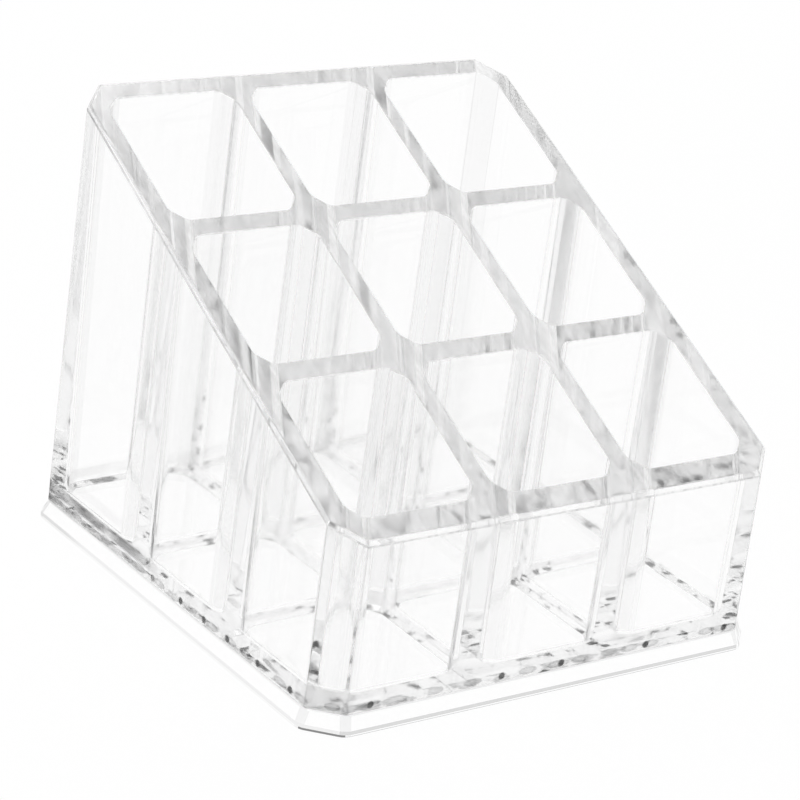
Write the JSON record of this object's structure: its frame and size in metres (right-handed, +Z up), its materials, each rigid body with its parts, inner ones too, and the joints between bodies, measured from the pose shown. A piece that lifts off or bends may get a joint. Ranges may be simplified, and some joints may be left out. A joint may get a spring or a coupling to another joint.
{
  "type": "vanity organizer",
  "caption": "Clear moulded vanity organizer with upright pockets under a rim that slopes from a tall back to a low front, bonded to a bevelled base plate.",
  "frame": {"origin": "centre of the underside of the base plate, on the surface that the organizer stands on", "axes": "+Z up; the low front faces -Y and the tall back faces +Y; +X is to the right of someone facing the front"},
  "size_m": [0.0936, 0.0954, 0.0787],
  "materials": {
    "base_plastic": "clear, polished",
    "body_plastic": "clear, polished"
  },
  "bodies": {
    "root": {"base_plate": "base_plastic", "pocket_body": "body_plastic"}
  },
  "joints": []
}
